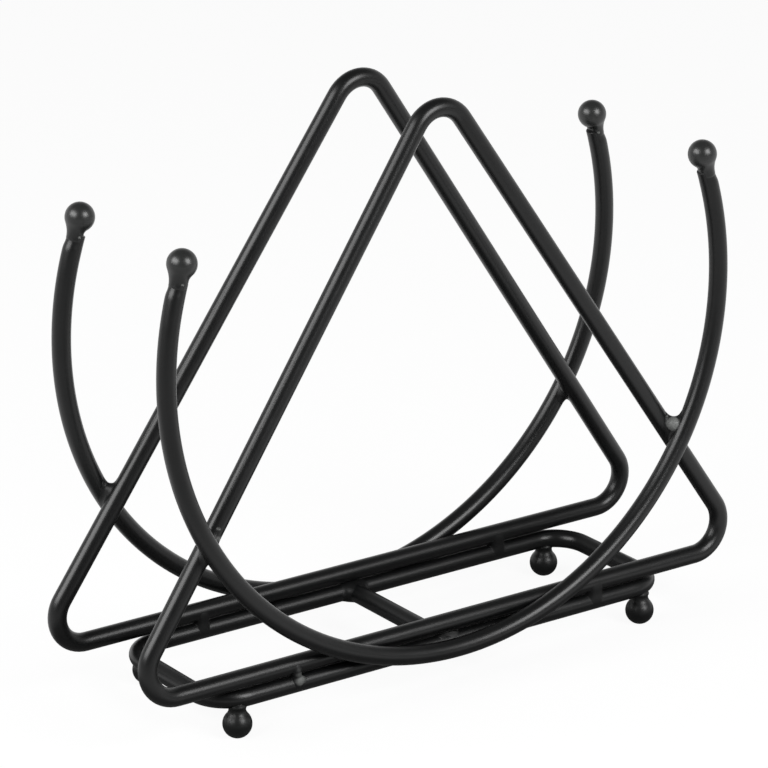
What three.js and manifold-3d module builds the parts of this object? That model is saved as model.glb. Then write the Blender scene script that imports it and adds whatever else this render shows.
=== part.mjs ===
// A tissue holder welded from round steel wire. Two bent triangles stand on a flat base loop and lean a
// little towards each other, an open arc with ball ends is welded to the outer face of each triangle, a
// cross bar ties the base and ball feet carry it. The weld fillets are solids of their own.
// Millimetres, +Z up, X along the holder, front towards -Y, origin on the table under the middle.
import * as THREE from 'three';
import { mergeVertices } from 'three/addons/utils/BufferGeometryUtils.js';
import Module from 'manifold-3d';

const wasm = await Module();
wasm.setup();

// Wire, and the gap left between pieces that touch
const wireDiameter = 4;
const contactGap = 0.3;

// Triangles: width and height are corner to corner along the centreline, before the bends round them
const triangleWidth = 165;
const triangleHeight = 120;
const triangleBend = 7;
const triangleSpacing = 36;
const leanDegrees = 1.8;

// Arcs: each runs past a half circle by the end angle on both sides, and the outer face slopes in to each cut
const arcRadius = 72;
const arcEndDegrees = 18.4;
const endSlopeLength = 2.2;
const endSlopeDepth = 0.4;

// Base loop, measured along the centreline; its long sides lie under the triangles
const baseLength = 119;
const baseBend = 8;

// Balls on the arc ends and under the base; the feet sit part of the way round the base's bends
const ballDiameter = 6.4;
const neckFillet = 0.4;
const finialNeckDiameter = 3.2;
const finialNeckLength = 0.75;
const footNeckDiameter = 3.6;
const footNeckLength = 0.5;
const footFlatDepth = 0.3;
const footBendDegrees = 18;

// Welds: a ring round each crossing, a bead in each groove over the base and a collar on each bar end
const crossingWeldWidth = 6.4;
const crossingWeldHeight = 8.8;
const crossingWeldThickness = 3.8;
const beadInset = 11.5;
const beadWidth = 3.2;
const beadDepth = 2.6;
const beadHeight = 5.4;
const beadOffset = 0.9;
const collarFlange = 1.2;
const collarLip = 0.15;
const collarReach = 1.9;
const collarSeat = 1;

// Coating
const coatColour = 0x1d1e1f;
const wireRoughness = 0.42;
const ballRoughness = 0.38;
const weldRoughness = 0.5;

// Facets
const wireSides = 14;
const cutSides = 24;
const bendSteps = 9;
const arcSteps = 54;
const ballSides = 18;
const ballRings = 5;
const weldSides = 16;
const weldRings = 10;

// Places that follow from the sizes above
const wireRadius = wireDiameter / 2;
const cutRadius = wireRadius + contactGap;
const contactPitch = wireDiameter + contactGap;
const ballRadius = ballDiameter / 2;
const sideOffset = triangleSpacing / 2;
const footDrop = wireRadius + footNeckLength + ballRadius;
const baseHeight = ballRadius - footFlatDepth + footDrop;
const triangleBase = baseHeight + contactPitch;
const arcCentre = new THREE.Vector2(0, arcRadius - contactPitch);
const lean = THREE.MathUtils.degToRad(leanDegrees);
const arcEnd = THREE.MathUtils.degToRad(arcEndDegrees);

const holder = new THREE.Group();

function coating(roughness) {
  return new THREE.MeshStandardMaterial({ color: coatColour, roughness, metalness: 0 });
}

function addPiece(parent, name, geometry, roughness) {
  const piece = new THREE.Mesh(geometry, coating(roughness));
  piece.name = name;
  parent.add(piece);
  return piece;
}

// A centreline given ring by ring, so that a sweep spends its rings on the bends and none on straight runs.
class RingPath extends THREE.Curve {
  constructor(rings) {
    super();
    this.rings = rings;
  }

  ringAt(share) {
    return this.rings[Math.round(share * (this.rings.length - 1))];
  }

  getPointAt(share) {
    return this.ringAt(share).point.clone();
  }

  getTangentAt(share) {
    return this.ringAt(share).tangent.clone();
  }
}

function toUpright(flat) {
  return new THREE.Vector3(flat.x, 0, flat.y);
}

function toLevel(flat) {
  return new THREE.Vector3(flat.x, flat.y, 0);
}

// Rings round a bend: the start point and direction turn together about the bend's centre.
function bendRings(start, heading, centre, turn, steps, toSpace) {
  const rings = [];
  for (let step = 0; step <= steps; step += 1) {
    const angle = (turn * step) / steps;
    const point = start.clone().rotateAround(centre, angle);
    const tangent = heading.clone().rotateAround(new THREE.Vector2(), angle);
    rings.push({ point: toSpace(point), tangent: toSpace(tangent) });
  }
  return rings;
}

// A closed loop through anticlockwise corners, each rounded to the bend radius.
function loopRings(corners, bendRadius, toSpace) {
  const rings = corners.flatMap((corner, index) => {
    const heading = corner.clone().sub(corners.at(index - 1)).normalize();
    const leaving = corners[(index + 1) % corners.length].clone().sub(corner).normalize();
    const turn = Math.acos(heading.dot(leaving));
    const start = corner.clone().addScaledVector(heading, -bendRadius * Math.tan(turn / 2));
    const left = new THREE.Vector2(-heading.y, heading.x);
    const centre = start.clone().addScaledVector(left, bendRadius);
    return bendRings(start, heading, centre, turn, bendSteps, toSpace);
  });
  return [...rings, rings[0]];
}

// Wire bent into a closed loop: the tube meets itself, so it has no ends.
function closedWire(rings, radius, sides) {
  return new THREE.TubeGeometry(new RingPath(rings), rings.length - 1, radius, sides, true);
}

// Wire with two cut ends.
function openWire(rings, radius, sides) {
  const section = new THREE.Shape().absarc(0, 0, radius, 0, 2 * Math.PI);
  return new THREE.ExtrudeGeometry(section, {
    steps: rings.length - 1,
    curveSegments: sides / 2,
    extrudePath: new RingPath(rings),
    bevelEnabled: false,
  });
}

// A straight round rod centred at a point and pointing along a direction.
function rod(radius, length, sides, centre, direction) {
  const turn = new THREE.Quaternion().setFromUnitVectors(new THREE.Vector3(0, 1, 0), direction);
  const geometry = new THREE.CylinderGeometry(radius, radius, length, sides);
  return geometry.applyQuaternion(turn).translate(centre.x, centre.y, centre.z);
}

function solid(geometry) {
  const bare = geometry.clone();
  bare.deleteAttribute('normal');
  bare.deleteAttribute('uv');
  const merged = mergeVertices(bare);
  const vertProperties = new Float32Array(merged.attributes.position.array);
  const triVerts = new Uint32Array(merged.index.array);
  return new wasm.Manifold(new wasm.Mesh({ numProp: 3, vertProperties, triVerts }));
}

function cutFrom(geometry, tools) {
  const left = tools.reduce((body, tool) => body.subtract(solid(tool)), solid(geometry));
  const { vertProperties, triVerts } = left.getMesh();
  const result = new THREE.BufferGeometry();
  result.setAttribute('position', new THREE.BufferAttribute(vertProperties, 3));
  result.setIndex(new THREE.BufferAttribute(triVerts, 1));
  result.computeVertexNormals();
  return result;
}

// Half the width, height and depth of a round weld deposit, centred on the origin.
function deposit(halfX, halfY, halfZ) {
  return new THREE.SphereGeometry(1, weldSides, weldRings).scale(halfX, halfY, halfZ);
}

// A ball on a short neck, turned about +Z: the neck starts at the origin and a flat may be cut off the ball.
function ballOnNeck(neckRadius, ballCentre, flatDepth) {
  const fillet = Math.min(neckFillet, (ballRadius - neckRadius) / 2);
  const neckTop = ballCentre - Math.sqrt(ballRadius ** 2 - neckRadius ** 2);
  const ballStart = -Math.acos((neckRadius + fillet) / ballRadius);
  const ballEnd = Math.asin((ballRadius - flatDepth) / ballRadius);
  const outline = new THREE.Path();
  outline.moveTo(0, 0);
  outline.lineTo(neckRadius, 0);
  outline.lineTo(neckRadius, neckTop - fillet);
  outline.quadraticCurveTo(
    neckRadius,
    neckTop,
    ballRadius * Math.cos(ballStart),
    ballCentre + ballRadius * Math.sin(ballStart),
  );
  outline.absarc(0, ballCentre, ballRadius, ballStart, ballEnd, false);
  const points = outline.getPoints(ballRings);
  const top = points.at(-1);
  if (flatDepth > 0) {
    points.push(new THREE.Vector2(0, top.y));
  } else {
    top.x = 0;
  }
  return new THREE.LatheGeometry(points, ballSides).rotateX(Math.PI / 2);
}

const triangleCorners = [
  new THREE.Vector2(-triangleWidth / 2, 0),
  new THREE.Vector2(triangleWidth / 2, 0),
  new THREE.Vector2(0, triangleHeight),
];

const baseCorners = [
  new THREE.Vector2(-baseLength / 2, -sideOffset),
  new THREE.Vector2(baseLength / 2, -sideOffset),
  new THREE.Vector2(baseLength / 2, sideOffset),
  new THREE.Vector2(-baseLength / 2, sideOffset),
];

function triangleWire(radius, sides) {
  return closedWire(loopRings(triangleCorners, triangleBend, toUpright), radius, sides);
}

// The end of an arc in front view, and the direction in which its wire would run on.
function arcEndAt(right) {
  const reach = new THREE.Vector2(right * Math.cos(arcEnd), Math.sin(arcEnd));
  const point = arcCentre.clone().addScaledVector(reach, arcRadius);
  const onward = new THREE.Vector2(-right * Math.sin(arcEnd), Math.cos(arcEnd));
  return { point, onward };
}

// The arc runs from its left end, down round the bottom and up to its right end.
function arcWire(radius, sides) {
  const { point, onward } = arcEndAt(-1);
  const turn = Math.PI + 2 * arcEnd;
  return openWire(bendRings(point, onward.negate(), arcCentre, turn, arcSteps, toUpright), radius, sides);
}

// A block that takes the slope off the outer face of one arc end.
function slopeBlock(right) {
  const slope = Math.atan2(endSlopeDepth, endSlopeLength);
  const block = new THREE.BoxGeometry(wireDiameter, 2 * wireDiameter, 4 * endSlopeLength);
  block.translate(wireRadius, 0, 0).rotateY(-slope).translate(wireRadius - endSlopeDepth, 0, 0);
  if (right < 0) {
    block.rotateZ(Math.PI);
  }
  const { point } = arcEndAt(right);
  return block.rotateY(-right * arcEnd).translate(point.x, 0, point.y);
}

function baseWire(radius, sides) {
  return closedWire(loopRings(baseCorners, baseBend, toLevel), radius, sides);
}

// Where the left side of a triangle meets the arc in front view: the lower root of a line and a circle.
function leftCrossing() {
  const corner = triangleCorners[0];
  const side = triangleCorners[2].clone().sub(corner);
  const fromCentre = corner.clone().sub(arcCentre);
  const square = side.lengthSq();
  const half = side.dot(fromCentre);
  const rest = fromCentre.lengthSq() - arcRadius ** 2;
  const share = (-half - Math.sqrt(half ** 2 - square * rest)) / square;
  return corner.clone().addScaledVector(side, share);
}

// A weld ring that fills the crossing of a triangle side and the arc that lies against it.
function crossingWeld(crossing, arcSide) {
  const blank = deposit(crossingWeldWidth / 2, crossingWeldThickness / 2, crossingWeldHeight / 2);
  blank.translate(crossing.x, (arcSide * contactPitch) / 2, crossing.y);
  const triangleCut = triangleWire(cutRadius, cutSides);
  const arcCut = arcWire(cutRadius, cutSides).translate(0, arcSide * contactPitch, 0);
  return cutFrom(blank, [triangleCut, arcCut]);
}

// One side of the holder: a triangle and its arc lean in together about the triangle's bottom wire.
function addSide(sideName, outward) {
  const side = new THREE.Group();
  side.position.set(0, outward * sideOffset, triangleBase);
  side.rotation.x = outward * lean;
  holder.add(side);

  addPiece(side, `${sideName}_triangle`, triangleWire(wireRadius, wireSides), wireRoughness);
  const slopedArc = cutFrom(arcWire(wireRadius, wireSides), [slopeBlock(-1), slopeBlock(1)]);
  const arc = addPiece(side, `${sideName}_arc`, slopedArc, wireRoughness);
  arc.position.y = outward * contactPitch;

  const crossing = leftCrossing();
  for (const [endName, right] of [['left', -1], ['right', 1]]) {
    const place = new THREE.Vector2(-right * crossing.x, crossing.y);
    const weld = crossingWeld(place, outward);
    addPiece(side, `${sideName}_${endName}_crossing_weld`, weld, weldRoughness);

    const rise = ballRadius + finialNeckLength - contactGap;
    const ball = ballOnNeck(finialNeckDiameter / 2, rise, 0);
    const finial = addPiece(side, `${sideName}_${endName}_finial`, ball, ballRoughness);
    const { point, onward } = arcEndAt(right);
    const seat = point.addScaledVector(onward, contactGap);
    finial.position.set(seat.x, outward * contactPitch, seat.y);
    finial.rotation.y = -right * arcEnd;
  }
}

// A foot hangs under a bend of the base loop, its neck cut to the wire that it is welded to.
function addFoot(name, right, outward) {
  const along = THREE.MathUtils.degToRad(footBendDegrees);
  const x = right * (baseLength / 2 - baseBend + baseBend * Math.sin(along));
  const y = outward * (sideOffset - baseBend + baseBend * Math.cos(along));
  const blank = ballOnNeck(footNeckDiameter / 2, footDrop, footFlatDepth).rotateX(Math.PI).translate(x, y, 0);
  const foot = addPiece(holder, name, cutFrom(blank, [baseWire(cutRadius, cutSides)]), ballRoughness);
  foot.position.z = baseHeight;
}

// A short bead across the groove between a triangle's bottom wire and the base loop under it. Both pairs of
// wires are welded from the front.
function addBead(name, right, outward) {
  const x = right * (baseLength / 2 - baseBend - beadInset);
  const lower = new THREE.Vector3(x, 0, -contactPitch / 2);
  const upper = new THREE.Vector3(x, 0, contactPitch / 2);
  const along = new THREE.Vector3(1, 0, 0);
  const blank = deposit(beadWidth / 2, beadDepth / 2, beadHeight / 2).translate(x, -beadOffset, 0);
  const cuts = [lower, upper].map((centre) => rod(cutRadius, 2 * beadWidth, cutSides, centre, along));
  const bead = addPiece(holder, name, cutFrom(blank, cuts), weldRoughness);
  bead.position.set(0, outward * sideOffset, baseHeight + contactPitch / 2);
}

// A weld collar flares from the cross bar onto the base loop, clear of the triangle wire above.
function addCollar(name, outward) {
  const start = -collarSeat;
  const end = -cutRadius - collarReach;
  const outline = new THREE.Path();
  outline.moveTo(cutRadius, end);
  outline.lineTo(cutRadius + collarLip, end);
  outline.quadraticCurveTo(cutRadius + collarLip, -cutRadius, cutRadius + collarFlange, start);
  outline.lineTo(cutRadius, start);
  outline.lineTo(cutRadius, end);
  const blank = new THREE.LatheGeometry(outline.getPoints(ballRings), cutSides);
  if (outward < 0) {
    blank.rotateZ(Math.PI);
  }
  const along = new THREE.Vector3(1, 0, 0);
  const cutLength = 4 * (cutRadius + collarFlange);
  const baseCut = rod(cutRadius, cutLength, cutSides, new THREE.Vector3(), along);
  const triangleCut = rod(cutRadius, cutLength, cutSides, new THREE.Vector3(0, 0, contactPitch), along);
  const collar = addPiece(holder, name, cutFrom(blank, [baseCut, triangleCut]), weldRoughness);
  collar.position.set(0, outward * sideOffset, baseHeight);
}

addSide('front', -1);
addSide('back', 1);

const base = addPiece(holder, 'base_loop', baseWire(wireRadius, wireSides), wireRoughness);
base.position.z = baseHeight;

const barLength = 2 * (sideOffset - cutRadius);
const barWire = new THREE.CylinderGeometry(wireRadius, wireRadius, barLength, wireSides);
const bar = addPiece(holder, 'cross_bar', barWire, wireRoughness);
bar.position.z = baseHeight;

for (const [sideName, outward] of [['front', -1], ['back', 1]]) {
  addCollar(`${sideName}_bar_collar`, outward);
  for (const [endName, right] of [['left', -1], ['right', 1]]) {
    addFoot(`${sideName}_${endName}_foot`, right, outward);
    addBead(`${sideName}_${endName}_base_weld`, right, outward);
  }
}

export default holder;
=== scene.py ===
"""Looks of a tissue holder that is bent and welded from black powder-coated wire.

Each visible piece is a surface worked out with numpy, and rides on the one CAD body. It stands for its CAD
node, apart from a few drops of weld spatter, which have no node. Lengths are metres in the frame's axes: X
along the holder, front towards -Y, +Z up, the table at Z = 0.
"""

import math

import bpy
import numpy as np
from mathutils import Matrix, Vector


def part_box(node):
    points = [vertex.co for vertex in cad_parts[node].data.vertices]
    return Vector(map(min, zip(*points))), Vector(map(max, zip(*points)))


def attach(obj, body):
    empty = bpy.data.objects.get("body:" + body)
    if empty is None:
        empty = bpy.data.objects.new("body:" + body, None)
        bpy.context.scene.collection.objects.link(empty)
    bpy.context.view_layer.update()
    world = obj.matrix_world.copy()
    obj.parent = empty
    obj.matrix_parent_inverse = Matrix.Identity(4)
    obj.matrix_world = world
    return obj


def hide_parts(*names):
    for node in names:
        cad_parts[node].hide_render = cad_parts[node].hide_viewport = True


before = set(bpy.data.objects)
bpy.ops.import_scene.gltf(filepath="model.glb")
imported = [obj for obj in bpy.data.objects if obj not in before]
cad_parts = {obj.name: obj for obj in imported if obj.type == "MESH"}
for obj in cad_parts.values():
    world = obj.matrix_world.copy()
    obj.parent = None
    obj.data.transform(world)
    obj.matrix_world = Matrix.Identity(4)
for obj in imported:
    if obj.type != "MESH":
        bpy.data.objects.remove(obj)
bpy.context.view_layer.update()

MM = 0.001
FRAME_AXES = np.eye(3)
ORIGIN = np.zeros(3)
SIDES = (("front", -1), ("back", 1))
ENDS = (("left", -1), ("right", 1))


def box(node):
    """Lowest corner, highest corner and middle of a CAD node, as arrays."""
    low, high = (np.array(corner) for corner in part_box(node))
    return low, high, (low + high) / 2


# Sizes read from the CAD nodes
bar_low, bar_high, bar_middle = box("cross_bar")
_, loop_high, loop_middle = box("base_loop")
side_low, side_high, _ = box("front_triangle")
_, arc_high, _ = box("front_arc")
ball_low, ball_high, _ = box("front_left_finial")

BARE_WIRE = (bar_high[2] - bar_low[2]) / 2
BALL = (ball_high[1] - ball_low[1]) / 2
LOOP_HALF = loop_high[:2] - BARE_WIRE
LOOP_HEIGHT = loop_middle[2]
SIDE_HALF = side_high[0] - BARE_WIRE
SIDE_FOOT = np.array([0, side_low[1] + BARE_WIRE, side_low[2] + BARE_WIRE])
SIDE_TOP = np.array([0, side_high[1] - BARE_WIRE, side_high[2] - BARE_WIRE])
LEAN = math.atan2(SIDE_TOP[1] - SIDE_FOOT[1], SIDE_TOP[2] - SIDE_FOOT[2])
SIDE_HEIGHT = float(np.linalg.norm(SIDE_TOP - SIDE_FOOT))
PITCH = SIDE_FOOT[2] - LOOP_HEIGHT
ARC = arc_high[0] - BARE_WIRE
ARC_MIDDLE = np.array([0, ARC - PITCH])

# Wires: the coat on them, and what their boxes don't give
COAT_THICKNESS = 0.06 * MM
WIRE = BARE_WIRE + COAT_THICKNESS
SIDE_BEND = 7 * MM
LOOP_BEND = 8 * MM
ARC_END = math.radians(18.6)

# Arc ends: the outer side slopes in before the cut, and the cut edge is rounded
END_SLOPE_LENGTH = 3.2 * MM
END_SLOPE_DEPTH = 0.32 * MM
END_SLOPE_EASE = 0.4
END_ROUND = 0.15 * MM

# Balls on arc ends: heights are from the cut, and a meet angle is from the bottom of the ball to the place
# where the neck's flare meets it
FINIAL_NECK = 1.3 * MM
FINIAL_RISE = 0.5 * MM + BALL
FINIAL_SHIFT = 0.25 * MM
FINIAL_START = -1.8 * MM
FINIAL_LAST = 0.98 * math.pi
FINIAL_PROUD = 0.05 * MM
FINIAL_TAPER = 0.3
FINIAL_TAPER_START = -1.2 * MM
# Painted sheen on balls: the share of grey the colour reaches at the ball's middle and above
FINIAL_PAINTED_SHEEN = 0.085
NOTCH_MEET = math.radians(28)
FLUSH_MEET = math.radians(58)
NOTCH_FOCUS = 4

# Balls under the base: heights are down from the middle of the base loop's wire
FOOT_NECK = 1.86 * MM
FOOT_FLAT = 0.3 * MM
FOOT_MEET = math.radians(49)
FOOT_START = 0.4 * WIRE
FOOT_RIM = 0.2 * MM
FOOT_RIM_HEIGHT = 0.8 * WIRE
FOOT_RIM_WIDTH = 0.4 * MM

# Welds: how wide their wires are rounded together, how far out they are looked for, and their lumps
WELD_SINK = 0.05 * MM
WELD_HALVINGS = 24
CROSSING_BLEND = 2.1 * MM
CROSSING_FOCUS = 5
CROSSING_REACH = 6 * MM
BASE_BLEND = 0.1 * MM
BASE_EDGE = 0.5 * MM
BASE_FLATNESS = 4
BASE_REACH = 3.4 * MM
COLLAR_BLEND = 2.1 * MM
COLLAR_WAVE = 0.3 * MM
COLLAR_WAVES = 3
COLLAR_INSET = 0.8 * WIRE
COLLAR_REACH = 4.2 * MM
LUMP_BLEND = 0.6 * MM
# Painted highlight round a lump: the width of its fade, and how many such widths past the lump's surface it
# reaches
LUMP_HIGHLIGHT_EDGE = 0.25 * MM
LUMP_HIGHLIGHT_MARGIN = 1.2

# Drops of spatter: height, sink and tip are shares of the radius, and the painted highlight on the crown is a
# share of grey
DROP_HEIGHT = 0.9
DROP_SINK = 0.25
DROP_TIP = 0.04
DROP_PAINTED_HIGHLIGHT = 0.8
END_DROP = 0.55 * MM
END_DROP_FALL = 0.3 * MM

# Grid steps
WIRE_STEP = 0.8 * MM
WIRE_SIDES = 40
BAR_ROWS = 48
EDGE_ROWS = 6
SLOPE_ROWS = 24
BALL_SIDES = 48
BALL_ROWS = 30
BALL_OVERLAP = 0.7
NECK_ROWS = 15
DROP_ROWS = 12
WELD_SIDES = 72
WELD_ROWS = 48

# The notch between ball and wire at each arc end: how far weld metal fills it, and its turn from the inner
# side towards the face of the side in degrees
NOTCHES = {
    ("front", "left"): (0.85, 0),
    ("front", "right"): (0.6, 32),
    ("back", "left"): (0.15, 0),
    ("back", "right"): (0.3, 0),
}

# Drops of spatter on arc ends: the turn from the outer side towards the face of the side in degrees
END_DROPS = {
    ("front", "left"): 85,
    ("back", "left"): -83,
    ("back", "right"): -103,
}

# Drops of spatter on legs: millimetres up the leg from the crossing weld, the turn from the face of the side
# towards its outer edge in degrees, and the radius in millimetres
LEG_DROPS = {
    ("front", "left"): (5.4, 15, 0.75),
    ("front", "right"): (4.9, 30, 0.55),
}

# Each crossing weld: the way its web spreads most, how much, and its lumps of metal, each with its place,
# radius and share of painted highlight. Places are across the holder, up the side and out of the side.
# Lengths are millimetres.
CROSSING_WELDS = {
    ("front", "left"): ((0.9, 0.4, 0), 1.6, [((2.4, 2.6, -0.4), 0.55, 0.8)]),
    ("front", "right"): ((-0.05, 1, 0), 2.6, [((-1, 3, 0.7), 1.35, 1)]),
    ("back", "left"): ((0.1, 1, 0), 1.5, [((0.2, 2.2, -0.2), 1.2, 0)]),
    ("back", "right"): ((-0.6, -0.8, 0), 0.9, [((-1.8, 0.3, -0.6), 0.8, 0.3)]),
}

# Each base weld: half its width along the wires, how far it fills the groove, and its lumps in the frame's
# axes, each with its place, radius and share of painted highlight. Lengths are millimetres.
BASE_WELDS = {
    ("front", "left"): (1.1, 4.2, [((0.4, -1.6, -0.9), 1.05, 1), ((1.3, -1.6, -1), 0.7, 0.6),
                                   ((0.1, -1.6, 0.6), 0.7, 0.6), ((0, -1.6, 1.6), 0.6, 0.4)]),
    ("front", "right"): (1.9, 3.8, []),
    ("back", "left"): (1.7, 3.8, []),
    ("back", "right"): (1.9, 3.8, []),
}

# Coat colours, dark and light, and the grey that paints highlights and sheen
WIRE_BLACKS = (0.002, 0.0022, 0.0023), (0.004, 0.0042, 0.0043)
BALL_BLACKS = (0.002, 0.0023, 0.0023), (0.004, 0.0044, 0.0044)
WELD_BLACKS = (0.003, 0.0032, 0.0033), (0.006, 0.0062, 0.0064)
PAINTED_LIGHT_GREY = (0.13, 0.134, 0.13)
MOTTLE_IN_GRAIN = 0.4


def ring(count):
    """Even angles once round, without the repeated last one."""
    return np.linspace(0, 2 * np.pi, count, endpoint=False)


def turned(angle):
    """Unit vectors in a plane at the given angles."""
    return np.stack([np.cos(angle), np.sin(angle)], axis=-1)


def soft_least(a, b, width):
    """The smaller of two values, rounded off by a parabola where they differ by less than the width."""
    return np.minimum(a, b) - np.maximum(width - np.abs(a - b), 0) ** 2 / (4 * width)


def soft_most(a, b, width):
    """The larger of two values, rounded off in the same way."""
    return -soft_least(-a, -b, width)


def side_plane(outward):
    """Foot point and the across, up and outward directions of a leaning side."""
    foot = SIDE_FOOT * np.array([0, -outward, 1])
    across = np.array([1, 0, 0])
    up = np.array([0, -outward * math.sin(LEAN), math.cos(LEAN)])
    face = np.array([0, outward * math.cos(LEAN), math.sin(LEAN)])
    return foot, across, up, face


def in_plane(flat, first, second, origin=ORIGIN):
    """Points given by two plane coordinates from an origin, or directions without one, set in space."""
    return origin + flat[..., :1] * first + flat[..., 1:] * second


def skin(name, grid, finish, node=None, closed=False, painted_light=None):
    """Quads between the rows and columns of a grid of points. Columns close round. Rows close round too when
    closed is set, and otherwise a fan of triangles to the middle of the first and last row closes each end.
    The signed volume, a sixth of the sum of corner triple products, tells whether faces have to be turned.
    The values of painted highlight and sheen, one for each grid point, go into a point attribute named like
    that argument. A piece without a node is an extra that takes no node's place."""
    rows, columns, _ = grid.shape
    points = grid.reshape(-1, 3)
    below = np.arange(rows if closed else rows - 1)[:, None]
    beside = np.arange(columns)[None, :]
    above = (below + 1) % rows
    further = (beside + 1) % columns
    corners = (below * columns + beside, below * columns + further,
               above * columns + further, above * columns + beside)
    quads = np.stack(corners, axis=-1).reshape(-1, 4)
    faces = np.concatenate([quads[:, [0, 1, 2]], quads[:, [0, 2, 3]]])
    if not closed:
        first, last = len(points), len(points) + 1
        points = np.concatenate([points, grid[:1].mean(axis=1), grid[-1:].mean(axis=1)])
        edge = np.stack([beside[0], further[0]], axis=-1)
        bottom = np.column_stack([edge[:, ::-1], np.full(columns, first)])
        top = np.column_stack([edge + (rows - 1) * columns, np.full(columns, last)])
        faces = np.concatenate([faces, bottom, top])
    a, b, c = (points[faces[:, k]] for k in range(3))
    if np.einsum("ij,ij->", a, np.cross(b, c)) < 0:
        faces = faces[:, ::-1]
    mesh = bpy.data.meshes.new(name)
    mesh.from_pydata(points.tolist(), [], faces.tolist())
    mesh.shade_smooth()
    if painted_light is not None:
        values = np.append(painted_light.ravel(), [painted_light[0].mean(), painted_light[-1].mean()]).astype(np.float32)
        mesh.attributes.new("painted_light", "FLOAT", "POINT").data.foreach_set("value", values)
    mesh.materials.append(finish["material"])
    piece = bpy.data.objects.new(name, mesh)
    bpy.context.scene.collection.objects.link(piece)
    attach(piece, "root")
    if node:
        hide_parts(node)


def colour_mix(nodes, **ends):
    """A node that mixes the colours of its ends A and B by its factor. An end that isn't given is linked."""
    node = nodes.new("ShaderNodeMix")
    node.data_type = "RGBA"
    for end, colour in ends.items():
        node.inputs[end].default_value = (*colour, 1)
    return node


def coat_grain():
    """Shared coat effect on Object coordinates: Mottle is a soft noise some millimetres across, and Grain
    adds the fine ripple of the sprayed powder to a little of that noise."""
    group = bpy.data.node_groups.new("coat_grain", "ShaderNodeTree")
    for name, value in (("Mottle Scale", 240.0), ("Grain Scale", 1000.0)):
        socket = group.interface.new_socket(name, in_out="INPUT", socket_type="NodeSocketFloat")
        socket.default_value = value
    for name in ("Mottle", "Grain"):
        group.interface.new_socket(name, in_out="OUTPUT", socket_type="NodeSocketFloat")
    nodes, link = group.nodes, group.links.new
    given = nodes.new("NodeGroupInput")
    result = nodes.new("NodeGroupOutput")
    place = nodes.new("ShaderNodeTexCoord")
    mottle = nodes.new("ShaderNodeTexNoise")
    mottle.inputs["Detail"].default_value = 3
    grain = nodes.new("ShaderNodeTexNoise")
    grain.inputs["Detail"].default_value = 1
    both = nodes.new("ShaderNodeMath")
    both.operation = "MULTIPLY_ADD"
    both.inputs[1].default_value = MOTTLE_IN_GRAIN
    for noise, scale in ((mottle, "Mottle Scale"), (grain, "Grain Scale")):
        link(place.outputs["Object"], noise.inputs["Vector"])
        link(given.outputs[scale], noise.inputs["Scale"])
    link(mottle.outputs["Fac"], both.inputs[0])
    link(grain.outputs["Fac"], both.inputs[2])
    link(mottle.outputs["Fac"], result.inputs["Mottle"])
    link(both.outputs["Value"], result.inputs["Grain"])
    return group


GRAIN = coat_grain()


def coat(name, slot, blacks, smooth, rough, depth, shine=0.38, paints_light=False):
    """A black powder coat: the mottle runs the colour from dark to light and the roughness from smooth to
    rough, and the grain stands up by the depth. Where light is painted, a point attribute turns the colour
    towards a grey: painted highlights on welds and painted sheen on balls."""
    dark, light = blacks
    material = bpy.data.materials.new(name)
    material.use_nodes = True
    nodes, link = material.node_tree.nodes, material.node_tree.links.new
    shader = nodes["Principled BSDF"]
    shader.inputs["Specular IOR Level"].default_value = shine
    texture = nodes.new("ShaderNodeGroup")
    texture.node_tree = GRAIN
    colour = colour_mix(nodes, A=dark, B=light)
    gloss = nodes.new("ShaderNodeMapRange")
    gloss.inputs["To Min"].default_value = smooth
    gloss.inputs["To Max"].default_value = rough
    bump = nodes.new("ShaderNodeBump")
    bump.inputs["Strength"].default_value = 1
    bump.inputs["Distance"].default_value = depth
    link(texture.outputs["Mottle"], colour.inputs["Factor"])
    link(texture.outputs["Mottle"], gloss.inputs["Value"])
    link(texture.outputs["Grain"], bump.inputs["Height"])
    # Painted highlight and sheen: where the point attribute is set, the colour turns towards a grey
    if paints_light:
        painted_share = nodes.new("ShaderNodeAttribute")
        painted_share.attribute_name = "painted_light"
        painted_light_mix = colour_mix(nodes, B=PAINTED_LIGHT_GREY)
        link(painted_share.outputs["Fac"], painted_light_mix.inputs["Factor"])
        link(colour.outputs["Result"], painted_light_mix.inputs["A"])
        colour = painted_light_mix
    link(colour.outputs["Result"], shader.inputs["Base Color"])
    link(gloss.outputs["Result"], shader.inputs["Roughness"])
    link(bump.outputs["Normal"], shader.inputs["Normal"])
    return {"material": material, "slot": slot}


WIRE_COAT = coat("wire_coat", "wire_coating", WIRE_BLACKS, smooth=0.3, rough=0.36, depth=0.001 * MM)
BALL_COAT = coat("ball_coat", "ball_coating", BALL_BLACKS, smooth=0.3, rough=0.36, depth=0.001 * MM,
                 shine=0.5, paints_light=True)
FOOT_COAT = coat("foot_coat", "ball_coating", BALL_BLACKS, smooth=0.38, rough=0.44, depth=0.001 * MM)
WELD_COAT = coat("weld_coat", "weld_coating", WELD_BLACKS, smooth=0.42, rough=0.52, depth=0.004 * MM,
                 shine=0.28, paints_light=True)


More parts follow.
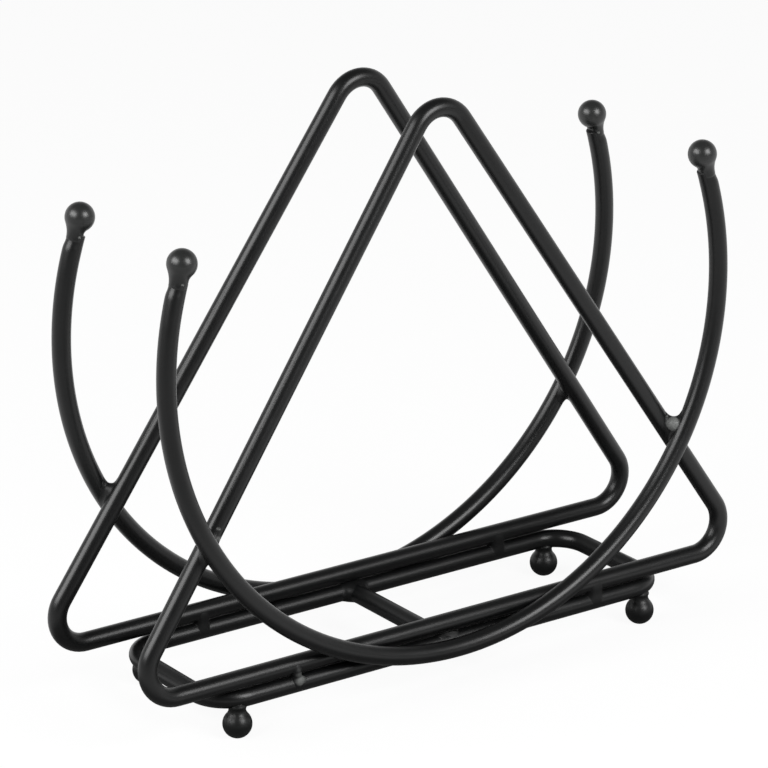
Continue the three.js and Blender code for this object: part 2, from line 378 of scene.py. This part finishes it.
def loop_line(centres, bend):
    """Centreline of a closed wire: straight runs that touch a circle of the bend radius round each centre, in
    anticlockwise order, with stations evenly along it. Gives the points and the directions out of the
    loop."""
    run = np.roll(centres, -1, axis=0) - centres
    leaving = np.arctan2(run[:, 1], run[:, 0])
    arriving = np.roll(leaving, 1)
    turn = (leaving - arriving) % (2 * np.pi)
    lengths = np.column_stack([bend * turn, np.linalg.norm(run, axis=1)]).ravel()
    ends = np.cumsum(lengths)
    stations = np.linspace(0, ends[-1], round(ends[-1] / WIRE_STEP), endpoint=False)
    stretch = np.searchsorted(ends, stations, side="right")
    corner, straight = stretch // 2, stretch % 2
    into = stations - (ends - lengths)[stretch]
    heading = arriving[corner] + np.where(straight, turn[corner], into / bend)
    out = turned(heading - np.pi / 2)
    points = centres[corner] + bend * out + (straight * into)[:, None] * turned(heading)
    return points, out


def loop_wire(node, centres, bend, origin, first, second, face):
    """A closed wire in a plane: a ring of the wire's radius carried along its centreline, the cosine of the
    ring angle along the direction out of the loop and its sine along the plane's face."""
    flat, out = loop_line(centres, bend)
    points = in_plane(flat, first, second, origin)
    outward = in_plane(out, first, second)
    angle = ring(WIRE_SIDES)[None, :, None]
    grid = points[:, None] + WIRE * (np.cos(angle) * outward[:, None] + np.sin(angle) * face)
    skin(f"{node}_wire", grid, WIRE_COAT, node, closed=True)


def triangle(side, outward):
    """A triangle: one bend low at each end and one at the top."""
    foot, across, up, face = side_plane(outward)
    x = SIDE_HALF - SIDE_BEND
    centres = np.array([[-x, SIDE_BEND], [x, SIDE_BEND], [0, SIDE_HEIGHT - SIDE_BEND]])
    loop_wire(f"{side}_triangle", centres, SIDE_BEND, foot, across, up, face)


def base_loop():
    """The base: a level rectangle with four bends."""
    x, y = LOOP_HALF - LOOP_BEND
    centres = np.array([[-x, -y], [x, -y], [x, y], [-x, y]])
    level = np.array([0, 0, LOOP_HEIGHT])
    loop_wire("base_loop", centres, LOOP_BEND, level, *FRAME_AXES)


def cut_stations(length):
    """Stations along a wire with two cut ends: a quarter round of rows over each cut edge, close rows along
    the slope and even rows between."""
    edge = END_ROUND * (1 - np.cos(np.linspace(0, np.pi / 2, EDGE_ROWS)))
    slope = np.linspace(END_ROUND, 2 * END_SLOPE_LENGTH, SLOPE_ROWS)[1:]
    near = np.concatenate([edge, slope])
    count = round((length - 2 * near[-1]) / WIRE_STEP)
    between = np.linspace(near[-1], length - near[-1], count)[1:-1]
    return np.concatenate([near, between, length - near[::-1]])


def rounded_end(reach, radius):
    """Wire radius at a distance from the cut: a quarter circle over the edge, then the full radius."""
    drop = np.clip(1 - reach / END_ROUND, 0, 1)
    return radius - END_ROUND * (1 - np.sqrt(1 - drop**2))


def end_radius(angle, slope):
    """Wire radius round an arc end: the outer share of the ring angle draws in by the slope."""
    return WIRE - END_SLOPE_DEPTH * slope * (1 + np.cos(angle)) / 2


def arc_wire(side, outward):
    """An arc: a ring carried round a circle from the left end under the middle to the right end. Near each
    cut, the ring draws in by a ramp of the distance from the cut, which is full over the last half of the
    slope, times the outer share of the ring angle."""
    foot, across, up, face = side_plane(outward)
    sweep = np.pi + 2 * ARC_END
    stations = cut_stations(ARC * sweep)
    out = turned(stations / ARC - np.pi - ARC_END)
    reach = np.minimum(stations, ARC * sweep - stations)[:, None]
    points = in_plane(ARC_MIDDLE + ARC * out, across, up, foot + PITCH * face)
    outward_side = in_plane(out, across, up)
    angle = ring(WIRE_SIDES)
    slope = soft_most(2 - 2 * reach / END_SLOPE_LENGTH, 0, END_SLOPE_EASE)
    radius = rounded_end(reach, end_radius(angle, soft_least(slope, 1, END_SLOPE_EASE)))
    off = radius * np.cos(angle)
    lift = radius * np.sin(angle)
    grid = points[:, None] + off[..., None] * outward_side[:, None] + lift[..., None] * face
    skin(f"{side}_arc_wire", grid, WIRE_COAT, f"{side}_arc")


def cross_bar():
    """The bar: a ring carried straight across the base, with its ends run into the loop."""
    stations = np.linspace(-LOOP_HALF[1], LOOP_HALF[1], BAR_ROWS)
    angle = ring(WIRE_SIDES)
    x = np.broadcast_to(WIRE * np.cos(angle), (len(stations), WIRE_SIDES))
    z = np.broadcast_to(LOOP_HEIGHT + WIRE * np.sin(angle), x.shape)
    y = np.broadcast_to(stations[:, None], x.shape)
    skin("cross_bar_wire", np.stack([x, y, z], axis=-1), WIRE_COAT, "cross_bar")


def ball_rows(start, rise, neck, last):
    """Heights of the rows of a ball on a neck: even ones up the neck, then even polar angles over the ball,
    from a little under where the neck would meet it."""
    first = math.asin(neck / BALL) * BALL_OVERLAP
    stem = np.linspace(start, rise - BALL * math.cos(first), NECK_ROWS, endpoint=False)
    over = rise - BALL * np.cos(np.linspace(first, last, BALL_ROWS))
    return np.concatenate([stem, over])[:, None]


def ball_radius(height, rise, neck, meet):
    """Radius of a ball on a neck at each height: a parabola that leaves the side of the neck without a kink
    and runs into the ball's circle at the meet angle from its bottom, and the circle from there on."""
    steep = 1 / np.tan(meet)
    climb = 2 * (BALL * np.sin(meet) - neck) / steep
    start = rise - BALL * np.cos(meet) - climb
    flare = neck + steep / (2 * climb) * np.maximum(height - start, 0) ** 2
    globe = np.sqrt(np.maximum(BALL**2 - (height - rise) ** 2, 0))
    return np.where(height < start + climb, flare, globe)


def revolve(origin, axis, first, second, height, radius):
    """Rows of rings about an axis: the height along the axis, and the radius times the cosine and the sine of
    the ring angle along the two cross directions."""
    angle = ring(BALL_SIDES)
    radius = np.broadcast_to(radius, (len(height), BALL_SIDES))
    across = (radius * np.cos(angle))[..., None] * first + (radius * np.sin(angle))[..., None] * second
    return origin + height[..., None] * axis + across


def arc_end(outward, right):
    """The middle of an arc's cut end, and the directions out of the arc, on past the cut and out of the
    side."""
    foot, across, up, face = side_plane(outward)
    reach = np.array([right * math.cos(ARC_END), math.sin(ARC_END)])
    onward = np.array([-right * math.sin(ARC_END), math.cos(ARC_END)])
    cut = in_plane(ARC_MIDDLE + ARC * reach, across, up, foot + PITCH * face)
    out, axis = (in_plane(way, across, up) for way in (reach, onward))
    return cut, out, axis, face


def finial(side, outward, end, right):
    """The ball on an arc end, a little outward of the wire's middle. Its neck runs flush with the wire and
    narrows to a notch on the inner side by a power of the inner share of the ring angle, and its start tapers
    in under the wire's surface. The colour turns greyer from the neck up to the ball's middle, a painted
    sheen."""
    cut, out, axis, face = arc_end(outward, right)
    fill, turn = NOTCHES[side, end]
    height = ball_rows(FINIAL_START, FINIAL_RISE, FINIAL_NECK, FINIAL_LAST)
    angle = ring(BALL_SIDES)
    inner = ((1 - np.cos(angle - math.radians(turn))) / 2) ** NOTCH_FOCUS
    wide = 1 - inner * (1 - fill)
    flush = end_radius(angle, 1) - FINIAL_SHIFT * np.cos(angle) + FINIAL_PROUD
    neck = FINIAL_NECK + wide * (flush - FINIAL_NECK)
    radius = ball_radius(height, FINIAL_RISE, neck, NOTCH_MEET + wide * (FLUSH_MEET - NOTCH_MEET))
    radius -= FINIAL_TAPER * np.maximum(FINIAL_TAPER_START - height, 0)
    grid = revolve(cut + FINIAL_SHIFT * out, axis, out, face, height, radius)
    # Painted sheen: greyer from the cut up to the ball's middle
    painted_light = np.broadcast_to(FINIAL_PAINTED_SHEEN * np.clip(height / FINIAL_RISE, 0, 1), grid.shape[:2])
    skin(f"{side}_{end}_ball_end", grid, BALL_COAT, f"{side}_{end}_finial", painted_light=painted_light)


def foot_ball(side, end):
    """The ball under a bend of the base: its neck has a rim, a bell curve of the height, that runs into the
    wire, and a small flat stands on the table."""
    node = f"{side}_{end}_foot"
    low, _, middle = box(node)
    origin = np.array([middle[0], middle[1], LOOP_HEIGHT])
    rise = LOOP_HEIGHT - low[2] - BALL + FOOT_FLAT
    last = np.pi - math.acos(1 - FOOT_FLAT / BALL)
    height = ball_rows(FOOT_START, rise, FOOT_NECK, last)
    radius = ball_radius(height, rise, FOOT_NECK, FOOT_MEET)
    radius += FOOT_RIM * np.exp(-(((height - FOOT_RIM_HEIGHT) / FOOT_RIM_WIDTH) ** 2))
    across, along, up = FRAME_AXES
    grid = revolve(origin, -up, across, along, height, radius)
    skin(f"{side}_{end}_foot_ball", grid, FOOT_COAT, node)


def ways_round(rows, columns):
    """Unit directions all round a point, in rows of polar angle and columns of turn."""
    polar = np.linspace(0, np.pi, rows + 2)[1:-1, None]
    angle = ring(columns)
    level = np.sin(polar)
    parts = np.broadcast_arrays(level * np.cos(angle), level * np.sin(angle), np.cos(polar))
    return np.stack(parts, axis=-1)


def weld_metal(node, middle, one_wire, other_wire, blend, reach, lumps=(), axes=FRAME_AXES):
    """Weld metal that webs two wires together. The field at a point is the smaller of its distances from the
    two wires, rounded together over the blend and then with the ball of each lump. Out from the middle along
    each direction, halving finds where the field rises to a little under nothing, which lies just inside the
    wires. Lumps are given in millimetres along the axes, and each carries a painted highlight: the colour on
    and round it turns grey by its share."""
    lumps = [(np.array(place) * MM @ axes, radius * MM, painted_share) for place, radius, painted_share in lumps]
    ways = ways_round(WELD_ROWS, WELD_SIDES)
    near = np.zeros(ways.shape[:2])
    far = np.full(ways.shape[:2], reach)
    for _ in range(WELD_HALVINGS):
        half = (near + far) / 2
        offset = half[..., None] * ways
        field = soft_least(one_wire(middle + offset), other_wire(middle + offset), blend(offset))
        for place, radius, _ in lumps:
            field = soft_least(field, np.linalg.norm(offset - place, axis=-1) - radius, LUMP_BLEND)
        inside = field < -WELD_SINK
        near = np.where(inside, half, near)
        far = np.where(inside, far, half)
    offset = near[..., None] * ways
    # Painted highlight on and round each lump, by its share
    painted_light = np.zeros(near.shape)
    for place, radius, painted_share in lumps:
        out = np.linalg.norm(offset - place, axis=-1) - radius
        painted_light = np.maximum(painted_light, painted_share * np.clip(LUMP_HIGHLIGHT_MARGIN - out / LUMP_HIGHLIGHT_EDGE, 0, 1))
    skin(f"{node}_metal", middle + offset, WELD_COAT, node, painted_light=painted_light)


def rod_gap(place, first, second):
    """Distance from a straight wire along the third axis, as a function of points."""
    def gap(points):
        return np.hypot(points[..., first] - place[first], points[..., second] - place[second]) - WIRE

    return gap


def long_wire(outward):
    """The middle of the base loop's long wire under a side."""
    return np.array([0, outward * LOOP_HALF[1], LOOP_HEIGHT])


def leg_line(right):
    """A leg in the plane of its side: the middle of its low bend, and the directions up the leg and out of
    the triangle. The leg's centreline touches the circle of the bend."""
    corner = np.array([right * (SIDE_HALF - SIDE_BEND), SIDE_BEND])
    slope = np.array([0, SIDE_HEIGHT - SIDE_BEND]) - corner
    along = slope / np.linalg.norm(slope)
    return corner, along, right * np.array([along[1], -along[0]])


def crossing_weld(side, outward, end, right):
    """The weld where an arc lies against a leg. The leg is a straight wire, the arc is a circle one pitch
    out, and the blend grows towards the way of spread by an exponential of its cosine."""
    node = f"{side}_{end}_crossing_weld"
    foot, across, up, face = side_plane(outward)
    axes = np.stack([across, up, face])
    corner, _, normal = leg_line(right)
    _, _, middle = box(node)
    spread, amount, lumps = CROSSING_WELDS[side, end]
    spread = np.array(spread) / np.linalg.norm(spread) @ axes

    def leg(points):
        flat = (points - foot) @ axes.T
        return np.hypot((flat[..., :2] - corner) @ normal - SIDE_BEND, flat[..., 2]) - WIRE

    def arc(points):
        flat = (points - foot) @ axes.T
        off = np.linalg.norm(flat[..., :2] - ARC_MIDDLE, axis=-1) - ARC
        return np.hypot(off, flat[..., 2] - PITCH) - WIRE

    def blend(offset):
        toward = offset @ spread / np.linalg.norm(offset, axis=-1)
        return CROSSING_BLEND + amount * MM * np.exp(CROSSING_FOCUS * (toward - 1))

    weld_metal(node, middle, leg, arc, blend, CROSSING_REACH, lumps, axes)


def base_weld(side, outward, end):
    """The weld in the groove between a triangle's bottom wire and the base loop under it. The blend is a flat
    bell curve along the wires times a soft step that keeps the front half."""
    node = f"{side}_{end}_base_weld"
    foot, _, _, _ = side_plane(outward)
    rail = long_wire(outward)
    _, _, middle = box(node)
    middle[1:] = (foot[1:] + rail[1:]) / 2
    width, fill, lumps = BASE_WELDS[side, end]

    def blend(offset):
        along = np.exp(-((offset[..., 0] / (width * MM)) ** BASE_FLATNESS))
        front = 0.5 - 0.5 * np.tanh(offset[..., 1] / BASE_EDGE)
        return BASE_BLEND + fill * MM * along * front

    weld_metal(node, middle, rod_gap(foot, 1, 2), rod_gap(rail, 1, 2), blend, BASE_REACH, lumps)


def bar_collar(side, outward):
    """The fillet weld round a bar end, with a blend that waves round the bar. The bar stops at the loop's
    centreline."""
    node = f"{side}_bar_collar"
    rail = long_wire(outward)
    middle = rail - np.array([0, outward * COLLAR_INSET, 0])
    bar_side = rod_gap(bar_middle, 0, 2)

    def bar(points):
        return np.maximum(bar_side(points), outward * points[..., 1] - LOOP_HALF[1])

    def blend(offset):
        turn = np.arctan2(offset[..., 2], offset[..., 0])
        return COLLAR_BLEND + COLLAR_WAVE * np.sin(COLLAR_WAVES * turn + outward)

    weld_metal(node, middle, bar, rod_gap(rail, 1, 2), blend, COLLAR_REACH)


def spatter(name, place, axis, onward, radius):
    """A drop of spatter on a wire: a low dome with its rim a little under the wire's surface. Its height
    falls as the square of one less the squared share of its radius, and its crown carries a painted
    highlight, greyer as it rises."""
    share = np.linspace(1, DROP_TIP, DROP_ROWS)[:, None]
    crown = (1 - share**2) ** 2
    height = radius * (DROP_HEIGHT * crown - DROP_SINK)
    grid = revolve(place, axis, onward, np.cross(axis, onward), height, radius * share)
    # Painted highlight on the crown
    skin(name, grid, WELD_COAT, painted_light=np.broadcast_to(DROP_PAINTED_HIGHLIGHT * crown, grid.shape[:2]))


def end_drop(side, outward, end, right):
    """A drop of spatter on the wire's rim under the ball of an arc end."""
    turn = math.radians(END_DROPS[side, end])
    cut, out, axis, face = arc_end(outward, right)
    way = math.cos(turn) * out + math.sin(turn) * face
    rim = cut + end_radius(turn, 1) * way - END_DROP_FALL * axis
    spatter(f"{side}_{end}_end_spatter", rim, way, axis, END_DROP)


def leg_drop(side, outward, end, right):
    """A drop of spatter on a leg, up from the middle of the crossing weld."""
    climb, turn, radius = LEG_DROPS[side, end]
    turn = math.radians(turn)
    foot, across, up, face = side_plane(outward)
    corner, along, normal = leg_line(right)
    _, _, middle = box(f"{side}_{end}_crossing_weld")
    step = ((middle - foot) @ np.column_stack([across, up]) - corner) @ along + climb * MM
    line = in_plane(corner + SIDE_BEND * normal + step * along, across, up, foot)
    outer, onward = (in_plane(way, across, up) for way in (normal, along))
    axis = math.cos(turn) * face + math.sin(turn) * outer
    spatter(f"{side}_{end}_spatter", line + WIRE * axis, axis, onward, radius * MM)


base_loop()
cross_bar()
for side, outward in SIDES:
    triangle(side, outward)
    arc_wire(side, outward)
    bar_collar(side, outward)
    for end, right in ENDS:
        finial(side, outward, end, right)
        if (side, end) in END_DROPS:
            end_drop(side, outward, end, right)
        foot_ball(side, end)
        crossing_weld(side, outward, end, right)
        if (side, end) in LEG_DROPS:
            leg_drop(side, outward, end, right)
        base_weld(side, outward, end)

# Camera, fitted to the photo by its wires and balls
PHOTO_SIDE = 768
CAMERA_TURN = math.radians(-35.528)
CAMERA_RISE = math.radians(19.458)
CAMERA_ROLL = math.radians(0.08)
CAMERA_REACH = 932.57 * MM
FOCAL_PIXELS = 4342.3
CAMERA_AIM = np.array([-3.703, 0, 63.08]) * MM
SENSOR = 36

# Table top: its plain white share to the camera, its lit shades, the dark one being painted shade, and where
# it is white in a gloss. The near patch is an oval with these half spans, and fades out at this many times
# its size.
TABLE_REACH = 60
TABLE_PLAIN = 0.92
TABLE_PAINTED_SHADE = 0.18
TABLE_PALE = 0.9
FRONT_NEAR = 0.065
FRONT_FAR = 0.12
FRONT_WHITE = 0.28
NEAR_SPANS = (0.1, 0.045, 1)
NEAR_FADE = 1.5

# World: its dim and pale tones, and where it turns pale
WORLD_DIM = 0.15
WORLD_PALE = 0.95
BEHIND_RAMP = (-0.5, 0.5)
HEIGHT_RAMP = (0.7, 0.2)


def grey(value):
    """A grey colour of that value."""
    return (value, value, value)


def ramp(nodes, start, end):
    """A node that runs from nothing at the start value to one at the end value."""
    node = nodes.new("ShaderNodeMapRange")
    node.inputs["From Min"].default_value = start
    node.inputs["From Max"].default_value = end
    return node


def vector_step(nodes, operation, values=None):
    """A vector node, with fixed values on its second input where given."""
    node = nodes.new("ShaderNodeVectorMath")
    node.operation = operation
    if values:
        node.inputs[1].default_value = values
    return node


def table_material():
    """White with a small part of the lit surface, which keeps the shadow. In a gloss the table is white
    beside and behind the holder; in front it is partly white, and close round the holder it is painted shade,
    the lit dark grey of a dim studio. The white share is a ramp of the distance towards the camera times a
    ramp of the distance round the holder."""
    material = bpy.data.materials.new("white_table")
    material.use_nodes = True
    nodes, link = material.node_tree.nodes, material.node_tree.links.new
    nodes.clear()

    def math_step(operation, *values):
        step = nodes.new("ShaderNodeMath")
        step.operation = operation
        for socket, value in zip(step.inputs, values):
            link(value, socket)
        return step.outputs["Value"]

    place = nodes.new("ShaderNodeTexCoord")
    seen = nodes.new("ShaderNodeLightPath")
    ahead = vector_step(nodes, "DOT_PRODUCT", (math.sin(CAMERA_TURN), -math.cos(CAMERA_TURN), 0))
    front = ramp(nodes, FRONT_FAR, FRONT_NEAR)
    front.inputs["To Min"].default_value = FRONT_WHITE
    shrink = vector_step(nodes, "DIVIDE", NEAR_SPANS)
    spread = vector_step(nodes, "LENGTH")
    clear = ramp(nodes, 1, NEAR_FADE)
    shade = colour_mix(nodes, A=grey(TABLE_PAINTED_SHADE), B=grey(TABLE_PALE))
    share = nodes.new("ShaderNodeMapRange")
    share.inputs["To Max"].default_value = TABLE_PLAIN
    lit = nodes.new("ShaderNodeBsdfDiffuse")
    plain = nodes.new("ShaderNodeEmission")
    mix = nodes.new("ShaderNodeMixShader")
    result = nodes.new("ShaderNodeOutputMaterial")
    link(place.outputs["Object"], ahead.inputs[0])
    link(ahead.outputs["Value"], front.inputs["Value"])
    link(place.outputs["Object"], shrink.inputs[0])
    link(shrink.outputs["Vector"], spread.inputs[0])
    link(spread.outputs["Value"], clear.inputs["Value"])
    white = math_step("MULTIPLY", front.outputs["Result"], clear.outputs["Result"])
    gloss = math_step("MAXIMUM", seen.outputs["Is Glossy Ray"], seen.outputs["Is Transmission Ray"])
    pale = math_step("MAXIMUM", seen.outputs["Is Camera Ray"], white)
    view = math_step("MAXIMUM", seen.outputs["Is Camera Ray"], math_step("MULTIPLY", gloss, white))
    link(pale, shade.inputs["Factor"])
    link(shade.outputs["Result"], lit.inputs["Color"])
    link(view, share.inputs["Value"])
    link(share.outputs["Result"], mix.inputs["Fac"])
    link(lit.outputs["BSDF"], mix.inputs[1])
    link(plain.outputs["Emission"], mix.inputs[2])
    link(mix.outputs["Shader"], result.inputs["Surface"])
    return material


def floor():
    """A wide table top."""
    far = TABLE_REACH
    mesh = bpy.data.meshes.new("table_top")
    mesh.from_pydata([(-far, -far, 0), (far, -far, 0), (far, far, 0), (-far, far, 0)], [], [(0, 1, 2, 3)])
    mesh.materials.append(table_material())
    table = bpy.data.objects.new("table_top", mesh)
    bpy.context.scene.collection.objects.link(table)


def facing(turn, rise):
    """Level, upright and back directions of something that faces the holder from a turn and a rise."""
    back = np.array([math.sin(turn) * math.cos(rise), -math.cos(turn) * math.cos(rise), math.sin(rise)])
    level = np.array([math.cos(turn), math.sin(turn), 0])
    return level, np.cross(back, level), back


def stand(name, data, right, up, back, reach):
    """A camera or a lamp at a distance from the aim, facing it."""
    place = np.eye(4)
    place[:3] = np.column_stack([right, up, back, CAMERA_AIM + reach * back])
    piece = bpy.data.objects.new(name, data)
    bpy.context.scene.collection.objects.link(piece)
    piece.matrix_world = Matrix(place.tolist())
    return piece


def camera():
    """A long lens at the photo's angle."""
    data = bpy.data.cameras.new("camera")
    data.sensor_width = SENSOR
    data.lens = SENSOR * FOCAL_PIXELS / PHOTO_SIDE
    level, upright, back = facing(CAMERA_TURN, CAMERA_RISE)
    right = level * math.cos(CAMERA_ROLL) + upright * math.sin(CAMERA_ROLL)
    bpy.context.scene.camera = stand("camera", data, right, np.cross(back, right), back, CAMERA_REACH)


def soft_box(name, turn, rise, reach, width, height, power):
    """A soft lamp that faces the holder, with its turn from the camera's and its rise in degrees."""
    lamp = bpy.data.lights.new(name, "AREA")
    lamp.shape = "RECTANGLE"
    lamp.size = width
    lamp.size_y = height
    lamp.energy = power
    stand(name, lamp, *facing(CAMERA_TURN + math.radians(turn), math.radians(rise)), reach)


def studio_world():
    """A world that is pale round the horizon behind the holder and dim overhead and on the camera's side. The
    pale share is a ramp of the way away from the camera's side times a ramp of the height."""
    world = bpy.data.worlds.new("studio")
    world.use_nodes = True
    nodes, link = world.node_tree.nodes, world.node_tree.links.new
    way = nodes.new("ShaderNodeTexCoord")
    parts = nodes.new("ShaderNodeSeparateXYZ")
    away = vector_step(nodes, "DOT_PRODUCT", (-math.sin(CAMERA_TURN), math.cos(CAMERA_TURN), 0))
    behind = ramp(nodes, *BEHIND_RAMP)
    low = ramp(nodes, *HEIGHT_RAMP)
    both = nodes.new("ShaderNodeMath")
    both.operation = "MULTIPLY"
    tone = colour_mix(nodes, A=grey(WORLD_DIM), B=grey(WORLD_PALE))
    link(way.outputs["Generated"], away.inputs[0])
    link(way.outputs["Generated"], parts.inputs["Vector"])
    link(away.outputs["Value"], behind.inputs["Value"])
    link(parts.outputs["Z"], low.inputs["Value"])
    link(behind.outputs["Result"], both.inputs[0])
    link(low.outputs["Result"], both.inputs[1])
    link(both.outputs["Value"], tone.inputs["Factor"])
    link(tone.outputs["Result"], nodes["Background"].inputs["Color"])
    bpy.context.scene.world = world


floor()
camera()
soft_box("left_box", turn=-58, rise=31, reach=0.9, width=0.75, height=0.45, power=8.5)
soft_box("right_box", turn=50, rise=31, reach=0.9, width=0.45, height=0.45, power=7.0)
studio_world()
bpy.context.scene.view_settings.view_transform = "Standard"
